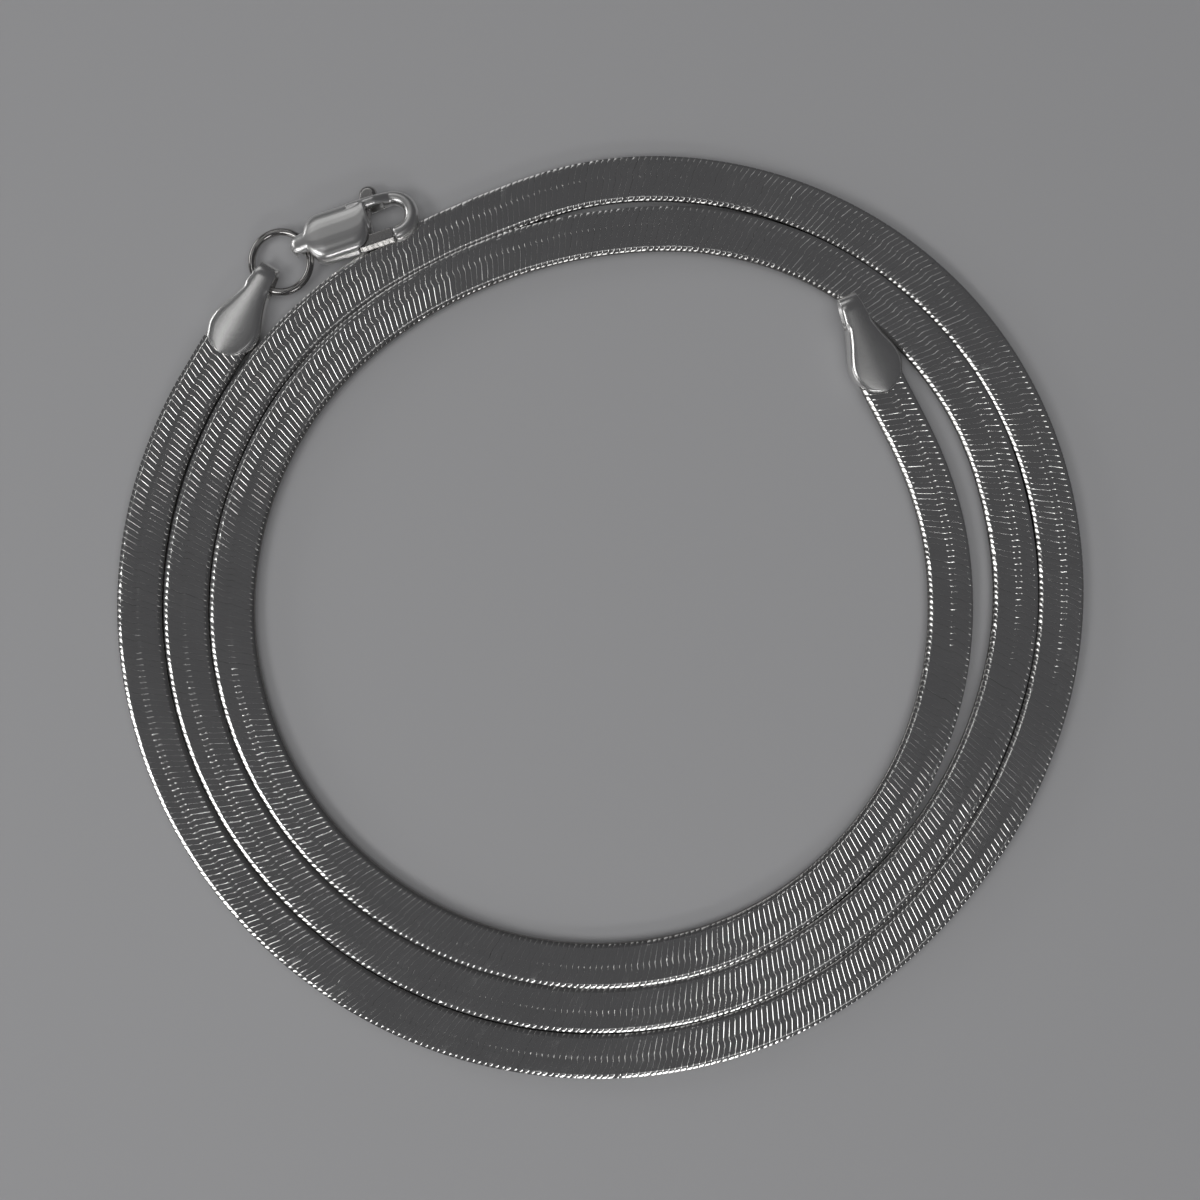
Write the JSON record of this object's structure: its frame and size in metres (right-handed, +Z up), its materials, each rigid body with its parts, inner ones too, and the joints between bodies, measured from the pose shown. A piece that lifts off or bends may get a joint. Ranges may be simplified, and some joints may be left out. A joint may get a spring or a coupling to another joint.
{
  "type": "herringbone chain",
  "caption": "Flat herringbone neck chain lying coiled and unfastened, with folded sheet end caps, a jump ring and a sprung lobster clasp that joins its ends round the neck.",
  "frame": {"origin": "under the middle of the coil, on the surface that it lies on", "axes": "+Z up from the surface, +X towards the side of the coil away from the clasp, +Y towards the clasp's edge of the coil"},
  "size_m": [0.0672, 0.0642, 0.0026],
  "materials": {
    "silver_links": "bright flattened links",
    "silver_sheet": "polished sheet",
    "silver_wire": "polished wire",
    "silver_cast": "polished casting",
    "silver_lever": "polished casting"
  },
  "bodies": {
    "necklace": {"chain": "silver_links", "end_cap_clasp": "silver_sheet", "end_cap_far": "silver_sheet", "jump_ring": "silver_wire", "clasp_body": "silver_cast", "clasp_pin": "silver_wire"},
    "lever": {"clasp_lever": "silver_lever"}
  },
  "joints": [
    {"name": "lever_hinge", "type": "hinge", "parent": "necklace", "child": "lever", "pos_m": [-0.01689, 0.02632, 0.00136], "axis": [-0.0714, 0.2133, 0.9744], "range_deg": [0, 25], "stiffness_Nm_per_rad": 0.004, "springref_deg": -17.19}
  ]
}
